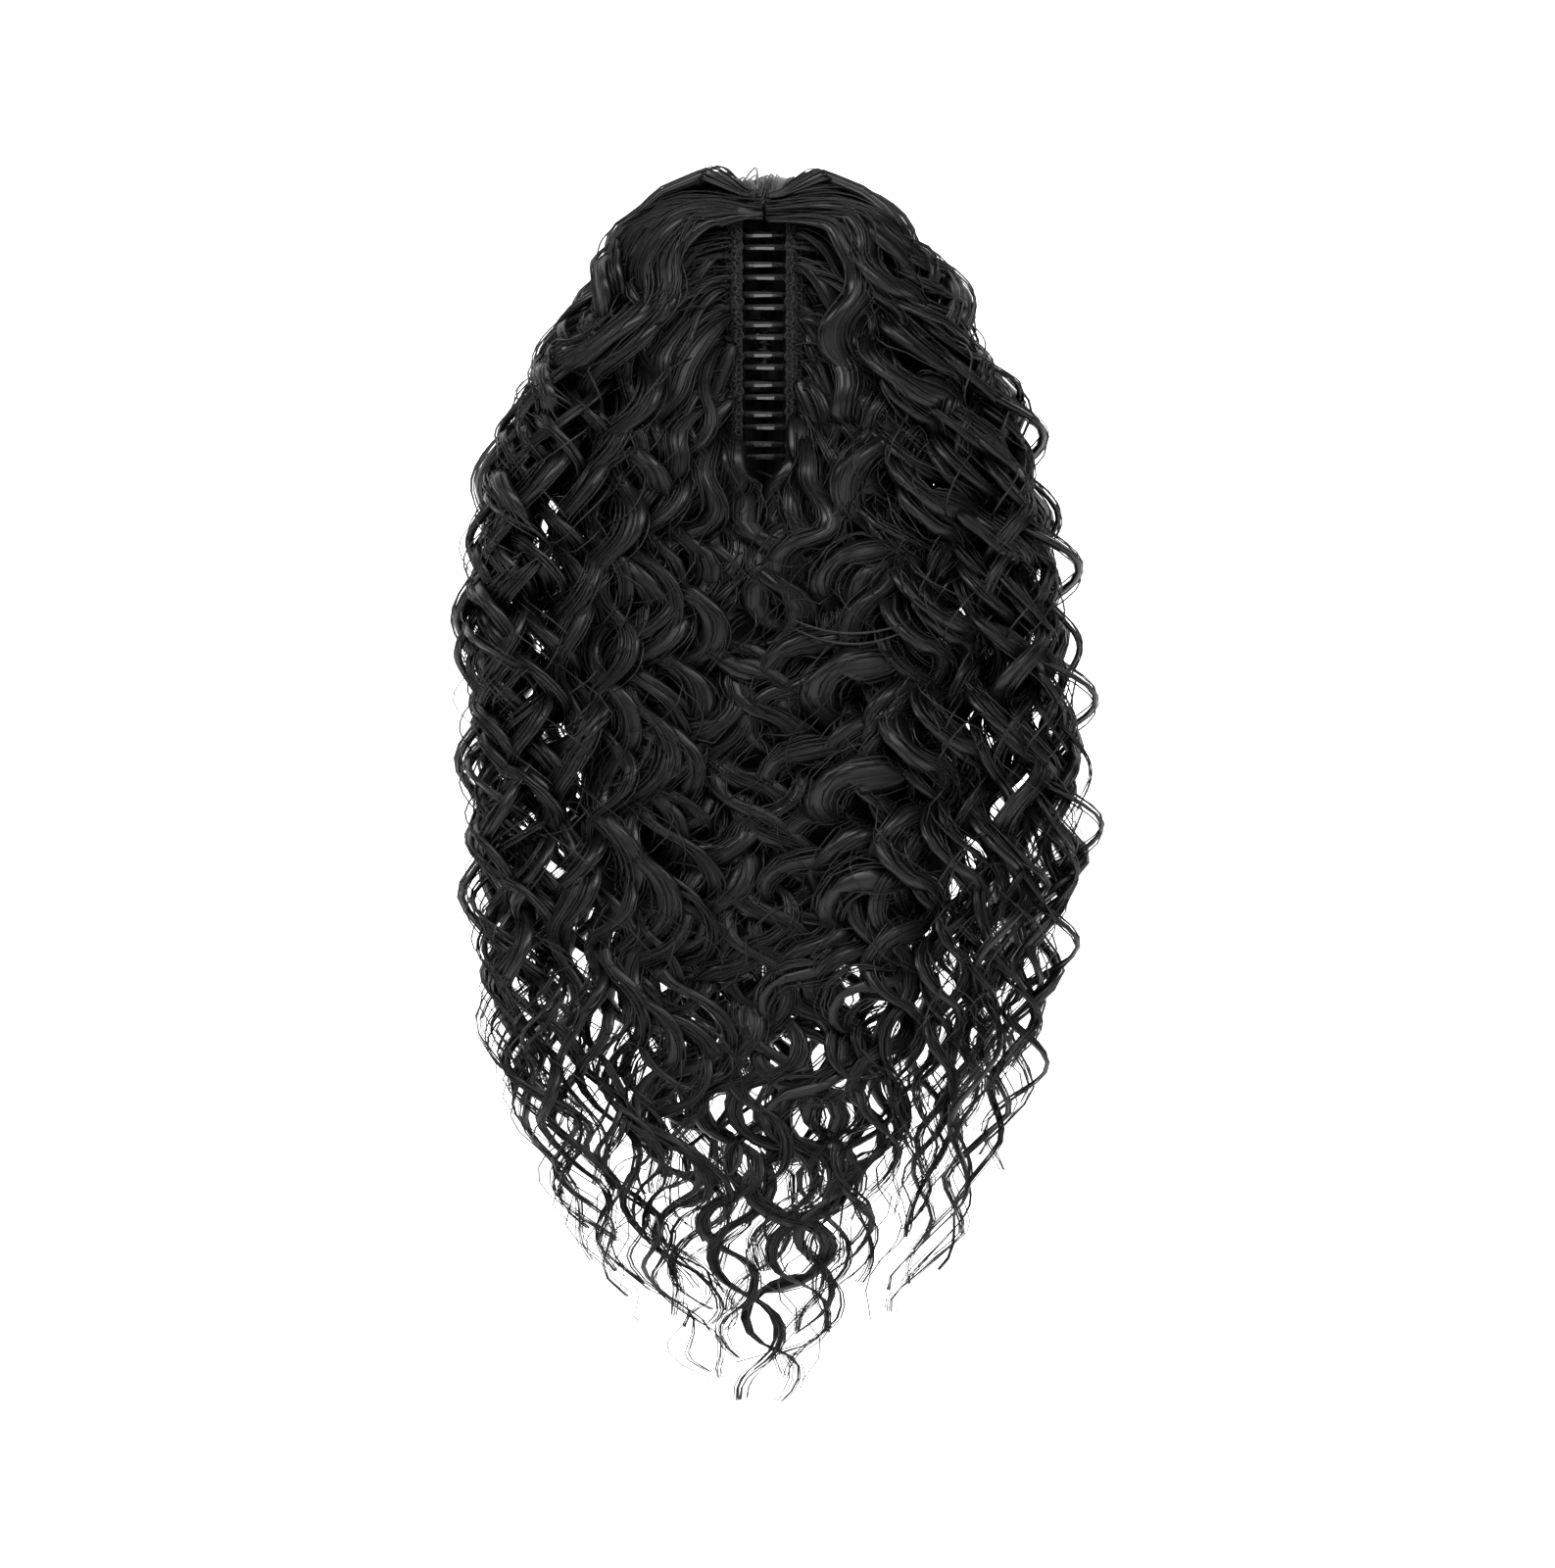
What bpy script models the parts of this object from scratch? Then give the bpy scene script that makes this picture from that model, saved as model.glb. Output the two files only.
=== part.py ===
"""Claw clip ponytail: a claw with two sprung jaws, each with a sewn weft band and half of a curly hairpiece.

Metres, +Z up. The origin is the middle of the space that the closed jaws grip. The teeth face -Y and the
handles +Y. The left half is fixed, and the right half swings about the upright hinge pin behind the grip.
"""

import math

import bmesh
import bpy
from mathutils import Matrix, Vector

# Claw jaws
GRIP_RADIUS = 0.0140
JAW_WALL = 0.0024
JAW_LENGTH = 0.0800
JAW_FRONT_ANGLE = math.radians(8)
JAW_BACK_ANGLE = math.radians(64)
TEETH_PER_JAW = 8
TOOTH_PITCH = 0.0099
TOOTH_STAGGER = 0.0042
TOOTH_ROOT_RADIUS = 0.0015
TOOTH_TIP_RADIUS = 0.0008
TOOTH_CROSSING = 0.0076
TOOTH_STATIONS = 7

# Hinge, spring and handles
PIN_RADIUS = 0.0012
PIN_CLEARANCE = 0.0003
KNUCKLE_WALL = 0.0015
KNUCKLE_LENGTH = 0.0036
KNUCKLE_SPACE = 0.0004
KNUCKLE_START = 0.0062
HINGE_STANDOFF = 0.0015
SPRING_WIRE_RADIUS = 0.0004
SPRING_TURNS = 4
SPRING_LEG = 0.0090
HANDLE_LENGTH = 0.0260
HANDLE_HEIGHT = 0.0340
HANDLE_WALL = 0.0022
HANDLE_FLARE = 0.0020
HANDLE_SPLAY = math.radians(25)
HANDLE_CORNER = 0.0080

# Sewn weft bands
BAND_WALL = 0.0015
BAND_OVERHANG = 0.0025
BAND_FRONT_EDGE = 0.0078
BAND_BACK_ANGLE = math.radians(56)

# Hairpiece
HAIR_ABOVE = 0.0580
HAIR_BELOW = 0.3480
HAIR_LEFT = 0.1000
HAIR_RIGHT = 0.1050
HAIR_FRONT = 0.0400
HAIR_BACK = 0.0480
MASS_SHARE = 0.83
MASS_ROUNDING = 0.16
MASS_RINGS = 42
LOBES = 8
LOBE_DEPTH = 0.0080
LOBE_PHASE = 0.38
CURL = 0.0085
CURL_WAVELENGTH = 0.0430
CURL_START = 0.10
CURL_FULL = 0.26
LOCK_RADIUS = 0.0090
LOCK_TIP_RADIUS = 0.0018
LOCK_STATION = 0.0082
RECESS_FLARE = 0.0050

# Clearances
SEAT_GAP = 0.0003
PARTING_GAP = 0.0006
PARTING_OFFSET = 0.0030

# Outline of the hair. Down is the share of its length from the top. The others are shares of the half widths
# to the left and right and of the depths to the front and back.
OUTLINE = (
    # down, left, right, front, back
    (0.000, 0.14, 0.15, 0.24, 0.24),
    (0.018, 0.33, 0.31, 0.54, 0.58),
    (0.045, 0.46, 0.44, 0.70, 0.80),
    (0.080, 0.56, 0.57, 0.78, 0.92),
    (0.130, 0.67, 0.63, 0.82, 0.97),
    (0.170, 0.76, 0.75, 0.86, 1.00),
    (0.215, 0.86, 0.81, 0.90, 1.00),
    (0.260, 0.91, 0.87, 0.92, 1.00),
    (0.340, 0.98, 0.93, 1.00, 1.00),
    (0.450, 0.98, 0.98, 1.00, 1.00),
    (0.555, 0.99, 1.00, 0.98, 0.98),
    (0.640, 0.95, 0.92, 0.95, 0.94),
    (0.740, 0.89, 0.83, 0.86, 0.84),
    (0.840, 0.70, 0.69, 0.70, 0.70),
    (0.900, 0.55, 0.56, 0.58, 0.56),
    (0.940, 0.42, 0.47, 0.46, 0.42),
    (0.970, 0.30, 0.32, 0.30, 0.28),
    (1.000, 0.06, 0.06, 0.10, 0.10),
)

# Locks that hang free below the mass of one half. Turn is the angle in degrees round the outline from the
# front to the back, and reach the share of the outline where the lock's middle lies. Top and tip are shares
# of the hair's length, and phase is in turns of the curl.
LOCKS = (
    # turn, reach, top, tip, phase
    (28, 0.62, 0.58, 0.995, 0.10),
    (52, 0.80, 0.56, 0.945, 0.55),
    (72, 0.88, 0.52, 0.870, 0.30),
    (90, 0.93, 0.50, 0.790, 0.80),
    (110, 0.86, 0.54, 0.880, 0.15),
    (134, 0.78, 0.56, 0.940, 0.65),
    (158, 0.62, 0.58, 0.985, 0.40),
)

# Worked out from the sizes above
TOOTH_LINE = GRIP_RADIUS + TOOTH_ROOT_RADIUS
BAND_INNER = GRIP_RADIUS + max(JAW_WALL, 2 * TOOTH_ROOT_RADIUS) + SEAT_GAP
BAND_OUTER = BAND_INNER + BAND_WALL
BAND_LENGTH = JAW_LENGTH + 2 * BAND_OVERHANG
KNUCKLE_BORE = PIN_RADIUS + PIN_CLEARANCE
KNUCKLE_RADIUS = KNUCKLE_BORE + KNUCKLE_WALL
HINGE_Y = GRIP_RADIUS + HINGE_STANDOFF + KNUCKLE_RADIUS
HANDLE_INSIDE = KNUCKLE_RADIUS + KNUCKLE_SPACE
OUTER_KNUCKLE = KNUCKLE_START + KNUCKLE_LENGTH + KNUCKLE_SPACE
HAIR_LENGTH = HAIR_ABOVE + HAIR_BELOW
BEYOND = 2 * HAIR_LENGTH
HINGE = Vector((0, HINGE_Y, 0))
ALONG = Vector((math.sin(HANDLE_SPLAY), math.cos(HANDLE_SPLAY)))
ACROSS = Vector((math.cos(HANDLE_SPLAY), -math.sin(HANDLE_SPLAY)))
LEFT, RIGHT = -1, 1


def clear_scene():
    for obj in list(bpy.data.objects):
        bpy.data.objects.remove(obj, do_unlink=True)


def new_collection(name, hidden=False):
    collection = bpy.data.collections.new(name)
    bpy.context.scene.collection.children.link(collection)
    collection.hide_render = hidden
    return collection


def material(name, colour, roughness, metallic=0.0):
    made = bpy.data.materials.new(name)
    made.use_nodes = True
    shader = made.node_tree.nodes["Principled BSDF"]
    shader.inputs["Base Color"].default_value = (*colour, 1)
    shader.inputs["Roughness"].default_value = roughness
    shader.inputs["Metallic"].default_value = metallic
    return made


def helper(obj, collection):
    """Links a cutter, or a piece that is joined to a part and isn't one itself."""
    obj.hide_render = True
    obj.display_type = "WIRE"
    collection.objects.link(obj)


def mesh_object(name, bm):
    """An object from a bmesh, its doubles merged and its faces pointing out."""
    bmesh.ops.remove_doubles(bm, verts=bm.verts, dist=1e-6)
    bmesh.ops.recalc_face_normals(bm, faces=bm.faces)
    mesh = bpy.data.meshes.new(name)
    bm.to_mesh(mesh)
    bm.free()
    return bpy.data.objects.new(name, mesh)


def baked(obj):
    """A mesh object of what the object's curve or modifiers give. The object itself is removed."""
    scene = bpy.context.scene.collection
    if not obj.users_collection:
        scene.objects.link(obj)
    graph = bpy.context.evaluated_depsgraph_get()
    mesh = bpy.data.meshes.new_from_object(obj.evaluated_get(graph))
    bm = bmesh.new()
    bm.from_mesh(mesh)
    name = obj.name
    bpy.data.objects.remove(obj, do_unlink=True)
    bpy.data.meshes.remove(mesh)
    solid = mesh_object(name, bm)
    solid.name = name
    return solid


def prism(name, outline, low, high):
    """A flat outline in X and Y as a solid from z low to z high."""
    curve = bpy.data.curves.new(name, "CURVE")
    curve.dimensions = "2D"
    curve.fill_mode = "BOTH"
    curve.extrude = (high - low) / 2
    curve.render_resolution_u = 0
    spline = curve.splines.new("POLY")
    spline.points.add(len(outline) - 1)
    for point, place in zip(spline.points, outline):
        point.co = (place[0], place[1], 0, 1)
    spline.use_cyclic_u = True
    solid = baked(bpy.data.objects.new(name, curve))
    solid.data.transform(Matrix.Translation((0, 0, (low + high) / 2)))
    return solid


def tube(name, points, radii, resolution):
    """A round wire through the points, with a radius for each."""
    curve = bpy.data.curves.new(name, "CURVE")
    curve.dimensions = "3D"
    curve.bevel_depth = 1.0
    curve.bevel_resolution = resolution
    curve.use_fill_caps = True
    curve.render_resolution_u = 0
    spline = curve.splines.new("POLY")
    spline.points.add(len(points) - 1)
    for point, place, radius in zip(spline.points, points, radii):
        point.co = (*place, 1)
        point.radius = radius
    return baked(bpy.data.objects.new(name, curve))


def cylinder(name, radius, low, high, sides, centre_y=0.0):
    bm = bmesh.new()
    bmesh.ops.create_cone(
        bm, cap_ends=True, segments=sides, radius1=radius, radius2=radius, depth=high - low
    )
    bmesh.ops.translate(bm, verts=bm.verts, vec=(0, centre_y, (low + high) / 2))
    return mesh_object(name, bm)


def boolean(obj, operation, operand):
    """Joins to an object, or cuts from it, another object or all that a collection holds."""
    modifier = obj.modifiers.new(operation.title(), "BOOLEAN")
    modifier.operation = operation
    modifier.solver = "EXACT"
    if isinstance(operand, bpy.types.Collection):
        modifier.operand_type = "COLLECTION"
        modifier.collection = operand
    else:
        modifier.object = operand


def arc(radius, start, end, steps):
    """Points (x, y) on a circle about the origin."""
    turns = [start + (end - start) * k / steps for k in range(steps + 1)]
    return [(radius * math.cos(turn), radius * math.sin(turn)) for turn in turns]


def on_side(points, side):
    """Points drawn for the right half, moved to the given side."""
    return [(side * point[0], point[1]) for point in points]


def ramp(value, start, end):
    """0 up to start, 1 from end, and a smooth rise between them."""
    share = min(max((value - start) / (end - start), 0.0), 1.0)
    return share * share * (3 - 2 * share)


def tooth_heights(side):
    """Heights of one jaw's teeth, top first. The right jaw's lie lower by the stagger."""
    span = (TEETH_PER_JAW - 1) * TOOTH_PITCH + TOOTH_STAGGER
    top = span / 2 - (TOOTH_STAGGER if side == RIGHT else 0)
    return [top - k * TOOTH_PITCH for k in range(TEETH_PER_JAW)]


def build_tooth(name, side, height):
    """A tapered tooth that leaves the jaw at its side, curves round the front and crosses the middle."""
    root = (JAW_FRONT_ANGLE + JAW_BACK_ANGLE) / 3
    tip = -math.pi / 2 - math.asin(TOOTH_CROSSING / TOOTH_LINE)
    line = on_side(arc(TOOTH_LINE, root, tip, TOOTH_STATIONS), side)
    taper = TOOTH_ROOT_RADIUS - TOOTH_TIP_RADIUS
    radii = [TOOTH_ROOT_RADIUS - taper * (k / TOOTH_STATIONS) ** 1.5 for k in range(TOOTH_STATIONS + 1)]
    return tube(name, [(x, y, height) for x, y in line], radii, 1)


def handle_outline(side):
    """The web from the jaw past the hinge, and the handle behind it, seen from above."""
    pin = Vector((0, HINGE_Y))
    inside, outside = HANDLE_INSIDE, HANDLE_INSIDE + HANDLE_WALL
    bend = 0.35 * HANDLE_LENGTH
    foot = GRIP_RADIUS + JAW_WALL / 2
    first, second = JAW_BACK_ANGLE - 0.02, JAW_BACK_ANGLE - 0.20
    points = [
        Vector((foot * math.cos(first), foot * math.sin(first))),
        pin + ACROSS * inside,
        pin + ACROSS * inside + ALONG * bend,
        pin + ACROSS * (inside + HANDLE_FLARE) + ALONG * HANDLE_LENGTH,
        pin + ACROSS * (outside + HANDLE_FLARE) + ALONG * HANDLE_LENGTH,
        pin + ACROSS * outside + ALONG * bend,
        pin + ACROSS * outside,
        Vector((foot * math.cos(second), foot * math.sin(second))),
    ]
    return on_side(points, side)


def handle_corner(name, end):
    """Cuts a handle's upper (end 1) or lower (end -1) far corner round, seen from the side."""
    half = HANDLE_HEIGHT / 2
    far = HINGE_Y + HANDLE_LENGTH * ALONG.y
    outline = [(far + HANDLE_LENGTH, end * (half - HANDLE_CORNER))]
    for k in range(6):
        turn = math.pi / 2 * k / 5
        y = far - HANDLE_CORNER * (1 - math.cos(turn))
        outline.append((y, end * (half - HANDLE_CORNER * (1 - math.sin(turn)))))
    outside = half + HANDLE_LENGTH
    outline += [(far - HANDLE_CORNER, end * outside), (far + HANDLE_LENGTH, end * outside)]
    cutter = prism(name, outline, -2 * HANDLE_LENGTH, 2 * HANDLE_LENGTH)
    # The outline is drawn in Y and Z, so the prism's X, Y and Z become Y, Z and X.
    for vertex in cutter.data.vertices:
        vertex.co = (vertex.co.z, vertex.co.x, vertex.co.y)
    return cutter


def build_jaw(name, side, parts):
    """A jaw: its curved plate, teeth, knuckles and handle in one moulding."""
    plate = arc(GRIP_RADIUS + JAW_WALL, JAW_FRONT_ANGLE, JAW_BACK_ANGLE, 7)
    plate += arc(GRIP_RADIUS, JAW_BACK_ANGLE, JAW_FRONT_ANGLE, 7)
    jaw = prism(name, on_side(plate, side), -JAW_LENGTH / 2, JAW_LENGTH / 2)
    parts.objects.link(jaw)
    corners = new_collection(name + "_corners", True)
    joined = new_collection(name + "_joined", True)
    for number, height in enumerate(tooth_heights(side)):
        helper(build_tooth(f"{name}_tooth_{number}", side, height), joined)
    handle = prism(name + "_handle", handle_outline(side), -HANDLE_HEIGHT / 2, HANDLE_HEIGHT / 2)
    for end in (-1, 1):
        helper(handle_corner(f"{name}_corner_{end}", end), corners)
    boolean(handle, "DIFFERENCE", corners)
    helper(handle, joined)
    # The left jaw's knuckles are the outer two and the right jaw's the inner two.
    near = KNUCKLE_START if side == RIGHT else OUTER_KNUCKLE
    lug_x = HANDLE_INSIDE + HANDLE_WALL / 2
    for end in (-1, 1):
        low, high = sorted((end * near, end * (near + KNUCKLE_LENGTH)))
        barrel = cylinder(f"{name}_barrel_{end}", KNUCKLE_RADIUS, low, high, 16, HINGE_Y)
        helper(barrel, joined)
        lug = [
            (0, HINGE_Y - 0.9 * KNUCKLE_RADIUS),
            (lug_x, HINGE_Y - 0.9 * KNUCKLE_RADIUS),
            (lug_x, HINGE_Y + 0.3 * KNUCKLE_RADIUS),
            (0, HINGE_Y + 0.3 * KNUCKLE_RADIUS),
        ]
        helper(prism(f"{name}_lug_{end}", on_side(lug, side), low, high), joined)
    bore = cylinder(name + "_bore", KNUCKLE_BORE, -JAW_LENGTH, JAW_LENGTH, 16, HINGE_Y)
    helper(bore, corners)
    boolean(jaw, "UNION", joined)
    boolean(jaw, "DIFFERENCE", bore)
    return jaw


def build_pin(parts):
    """The hinge pin, flush with the outer knuckles."""
    half = OUTER_KNUCKLE + KNUCKLE_LENGTH
    pin = cylinder("hinge_pin", PIN_RADIUS, -half, half, 16, HINGE_Y)
    parts.objects.link(pin)
    return pin


def build_spring(parts):
    """The coil spring between the inner knuckles, its legs along the insides of the handles."""
    coil_radius = PIN_RADIUS + PIN_CLEARANCE + SPRING_WIRE_RADIUS
    half = KNUCKLE_START - KNUCKLE_SPACE - SPRING_WIRE_RADIUS
    leg = HANDLE_INSIDE - SEAT_GAP - SPRING_WIRE_RADIUS
    steps = 8
    right = (HINGE.xy + ACROSS * leg).to_3d() + Vector((0, 0, -half))
    right_end = (HINGE.xy + ACROSS * leg + ALONG * SPRING_LEG).to_3d() + Vector((0, 0, -half))
    points = [right_end, right]
    for k in range(1, SPRING_TURNS * steps + steps // 2):
        turn = -2 * math.pi * k / steps
        share = k / (SPRING_TURNS * steps + steps // 2)
        height = -half + 2 * half * share
        points.append(HINGE + Vector((coil_radius * math.cos(turn), coil_radius * math.sin(turn), height)))
    points += [Vector((-right.x, right.y, half)), Vector((-right_end.x, right_end.y, half))]
    spring = tube("spring", points, [SPRING_WIRE_RADIUS] * len(points), 1)
    parts.objects.link(spring)
    return spring


def build_band(name, side, parts):
    """The sewn strip that wraps the outside of a jaw, from beside the teeth to the handle."""
    front = -math.acos(BAND_FRONT_EDGE / BAND_OUTER)
    outline = arc(BAND_OUTER, front, BAND_BACK_ANGLE, 14)
    outline += arc(BAND_INNER, BAND_BACK_ANGLE, front, 14)
    band = prism(name, on_side(outline, side), -BAND_LENGTH / 2, BAND_LENGTH / 2)
    parts.objects.link(band)
    return band


def outline_at(down):
    """The outline's shares (left, right, front, back) at a share of the hair's length from its top."""
    down = min(max(down, 0.0), 1.0)
    for upper, lower in zip(OUTLINE, OUTLINE[1:]):
        if down <= lower[0]:
            blend = (down - upper[0]) / (lower[0] - upper[0])
            return [a + (b - a) * blend for a, b in zip(upper[1:], lower[1:])]
    return list(OUTLINE[-1][1:])


def on_outline(side, down, turn, reach, inset=0.0):
    """A point of the hair's outline, drawn in by the share reach and the length inset. Turn 0 is in front."""
    left, right, front, back = outline_at(down)
    width = right * HAIR_RIGHT if side == RIGHT else left * HAIR_LEFT
    depth = front * HAIR_FRONT if math.cos(turn) > 0 else back * HAIR_BACK
    width = max(width * reach - inset, 0.1 * width)
    depth = max(depth * reach - inset, 0.1 * depth)
    height = HAIR_ABOVE - down * HAIR_LENGTH
    return Vector((side * width * math.sin(turn), -depth * math.cos(turn), height))


def wave(down, phase):
    """How far a lock lies to one side at a height, from -1 to 1. Near the roots the hair is smooth."""
    turns = down * HAIR_LENGTH / CURL_WAVELENGTH + phase
    return ramp(down, CURL_START, CURL_FULL) * math.sin(2 * math.pi * turns)


def even_turns(count):
    """Turns that part the half outline, and a little beyond its two ends, into equal lengths."""
    first, last, steps = math.radians(-8), math.radians(188), 400
    width = 0.5 * (HAIR_LEFT + HAIR_RIGHT)
    turns = [first + (last - first) * k / steps for k in range(steps + 1)]
    places = []
    for turn in turns:
        depth = HAIR_FRONT if math.cos(turn) > 0 else HAIR_BACK
        places.append((width * math.sin(turn), depth * math.cos(turn)))
    lengths = [0.0]
    for here, there in zip(places, places[1:]):
        lengths.append(lengths[-1] + math.dist(here, there))
    found, k = [], 0
    for number in range(count + 1):
        wanted = lengths[-1] * number / count
        while k < steps and lengths[k] < wanted:
            k += 1
        found.append(turns[k])
    return found, lengths[-1]


def build_mass(name, side):
    """The dense hair of one half: a loft whose sections follow the outline in waving lobes."""
    valleys, girth = even_turns(LOBES)
    bm = bmesh.new()
    rings = []
    for ring in range(MASS_RINGS + 1):
        share = ring / MASS_RINGS
        down = MASS_SHARE * share * (0.6 + 0.4 * share)
        closing = max(0.0, (down - MASS_SHARE + MASS_ROUNDING) / MASS_ROUNDING)
        reach = math.sqrt(max(0.0, 1 - closing**2)) * 0.92 + 0.08
        grown = ramp(down, 0.0, 0.06)
        turns = []
        for k, valley in enumerate(valleys):
            inner = 0 < k < LOBES
            swing = CURL / girth * (valleys[-1] - valleys[0]) if inner else 0
            turns.append(valley + swing * wave(down, LOBE_PHASE * k))
        section = []
        for k, (starts, ends) in enumerate(zip(turns, turns[1:])):
            depth = LOBE_DEPTH * grown * (1 + 0.4 * wave(down, LOBE_PHASE * k + 0.25))
            for across, inset in ((0.0, depth), (0.30, 0.15 * depth), (0.70, 0.0)):
                section.append((starts + (ends - starts) * across, inset))
        section.append((turns[-1], LOBE_DEPTH * grown))
        places = [on_outline(side, down, turn, reach, inset) for turn, inset in section]
        rings.append([bm.verts.new(place) for place in places])
    for upper, lower in zip(rings, rings[1:]):
        for k in range(len(upper)):
            m = (k + 1) % len(upper)
            bm.faces.new((upper[k], upper[m], lower[m], lower[k]))
    bm.faces.new(rings[0])
    bm.faces.new(rings[-1])
    bmesh.ops.triangulate(bm, faces=bm.faces)
    return mesh_object(name, bm)


def build_lock(name, side, turn, reach, top, tip, phase):
    """A curled lock that follows the outline down and thins to its tip."""
    steps = max(6, round((tip - top) * HAIR_LENGTH / LOCK_STATION))
    own_side = PARTING_GAP + LOCK_TIP_RADIUS
    points, radii = [], []
    for k in range(steps + 1):
        share = k / steps
        down = top + (tip - top) * share
        thin = ramp(share, 0.45, 1.0)
        radius = LOCK_RADIUS + (LOCK_TIP_RADIUS - LOCK_RADIUS) * thin
        spread = CURL * (1 - 0.4 * thin)
        middle = on_outline(side, down, math.radians(turn), reach, 0.5 * radius)
        curl = side * 2 * math.pi * (down * HAIR_LENGTH / CURL_WAVELENGTH + phase)
        place = middle + Vector((spread * math.cos(curl), 0.7 * spread * math.sin(curl), 0))
        place.x = side * max(side * place.x, own_side + radius)
        points.append(place)
        radii.append(radius)
    return tube(name, points, radii, 1)


def parting(side):
    """All that a half mustn't reach, seen from above: the other side, and the notch behind the hinge."""
    edge = PARTING_GAP / 2
    near = HINGE.xy + ACROSS * PARTING_OFFSET
    far = near + ALONG * BEYOND
    outline = [(edge, -BEYOND), (edge, near.y - PARTING_OFFSET), near, far]
    outline += [(-BEYOND, far.y), (-BEYOND, -BEYOND)]
    return on_side(outline, side)


def recess(side):
    """The recess in front of the teeth, seen from above: it widens towards the front."""
    wide = BAND_FRONT_EDGE + RECESS_FLARE
    outline = [(0, 0), (BAND_FRONT_EDGE, 0), (BAND_FRONT_EDGE, -BAND_INNER), (wide, -HAIR_FRONT)]
    outline += [(wide, -BEYOND), (-BEYOND, -BEYOND), (-BEYOND, 0)]
    return on_side(outline, side)


def handle_pocket(side):
    """The pocket that the handle stands in, seen from above."""
    start = HINGE.xy - ALONG * KNUCKLE_RADIUS
    depth = HANDLE_INSIDE + HANDLE_WALL + HANDLE_FLARE + 2 * SEAT_GAP
    end = start + ALONG * BEYOND
    return on_side([start, start + ACROSS * depth, end + ACROSS * depth, end], side)


def build_hair(name, side, parts):
    """Half of the hairpiece: its mass and its free locks in one solid, which is seated on the weft band."""
    locks = new_collection(name + "_locks", True)
    cutters = new_collection(name + "_cutters", True)
    for number, row in enumerate(LOCKS):
        helper(build_lock(f"{name}_lock_{number}", side, *row), locks)
    band_end = BAND_LENGTH / 2 + SEAT_GAP
    pocket_end = HANDLE_HEIGHT / 2 + 2 * SEAT_GAP
    helper(cylinder(name + "_claw_space", BAND_OUTER + SEAT_GAP, -band_end, band_end, 32), cutters)
    recess_top = max(tooth_heights(LEFT)) + 2 * TOOTH_ROOT_RADIUS
    helper(prism(name + "_recess", recess(side), -band_end, recess_top), cutters)
    helper(prism(name + "_parting", parting(side), -BEYOND, BEYOND), cutters)
    helper(prism(name + "_pocket", handle_pocket(side), -pocket_end, pocket_end), cutters)
    hair = build_mass(name + "_mass", side)
    boolean(hair, "UNION", locks)
    boolean(hair, "DIFFERENCE", cutters)
    whole = outer_body(name, baked(hair))
    parts.objects.link(whole)
    return whole


def outer_body(name, obj):
    """The object's largest closed surface. This fills any pocket that joined locks shut off from outside."""
    bm = bmesh.new()
    bm.from_mesh(obj.data)
    bpy.data.objects.remove(obj, do_unlink=True)
    unseen = set(bm.verts)
    groups = []
    while unseen:
        group, edge = set(), [unseen.pop()]
        while edge:
            vertex = edge.pop()
            group.add(vertex)
            for other in (link.other_vert(vertex) for link in vertex.link_edges):
                if other in unseen:
                    unseen.discard(other)
                    edge.append(other)
        groups.append(group)
    largest = max(groups, key=lambda group: (len(group), min(vertex.index for vertex in group)))
    bmesh.ops.delete(bm, geom=[vertex for vertex in bm.verts if vertex not in largest], context="VERTS")
    return mesh_object(name, bm)


def main():
    clear_scene()
    parts = new_collection("claw_clip_ponytail")
    for word, side in (("left", LEFT), ("right", RIGHT)):
        jaw = build_jaw(f"jaw_{word}", side, parts)
        band = build_band(f"weft_band_{word}", side, parts)
        hair = build_hair(f"hair_{word}", side, parts)
        jaw.data.materials.append(material(f"claw_plastic_{word}", (0.012, 0.012, 0.013), 0.22))
        band.data.materials.append(material(f"weft_cloth_{word}", (0.014, 0.014, 0.014), 0.80))
        hair.data.materials.append(material(f"hair_fibre_{word}", (0.020, 0.020, 0.020), 0.48))
        for obj in (jaw, band, hair):
            obj.data.shade_smooth()
    pin, spring = build_pin(parts), build_spring(parts)
    pin.data.materials.append(material("pin_steel", (0.45, 0.45, 0.46), 0.30, 1.0))
    spring.data.materials.append(material("spring_steel", (0.40, 0.40, 0.41), 0.35, 1.0))
    for obj in (pin, spring):
        obj.data.shade_smooth()


main()
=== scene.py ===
import math

import bpy
import numpy as np
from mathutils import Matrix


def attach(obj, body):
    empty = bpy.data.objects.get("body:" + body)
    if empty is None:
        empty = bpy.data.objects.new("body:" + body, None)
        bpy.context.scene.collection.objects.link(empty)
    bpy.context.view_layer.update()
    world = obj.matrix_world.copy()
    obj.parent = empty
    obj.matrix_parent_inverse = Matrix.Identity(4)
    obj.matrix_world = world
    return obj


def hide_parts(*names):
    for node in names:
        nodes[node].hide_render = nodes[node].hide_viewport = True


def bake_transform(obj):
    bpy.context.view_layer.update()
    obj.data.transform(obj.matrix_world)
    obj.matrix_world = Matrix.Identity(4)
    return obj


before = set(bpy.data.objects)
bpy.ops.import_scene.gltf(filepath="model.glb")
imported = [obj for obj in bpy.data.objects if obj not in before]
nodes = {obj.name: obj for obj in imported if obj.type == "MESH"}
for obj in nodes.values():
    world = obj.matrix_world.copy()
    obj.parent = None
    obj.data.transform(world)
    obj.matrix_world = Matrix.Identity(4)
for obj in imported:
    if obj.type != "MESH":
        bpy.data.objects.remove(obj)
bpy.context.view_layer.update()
print("frame loaded")

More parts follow.
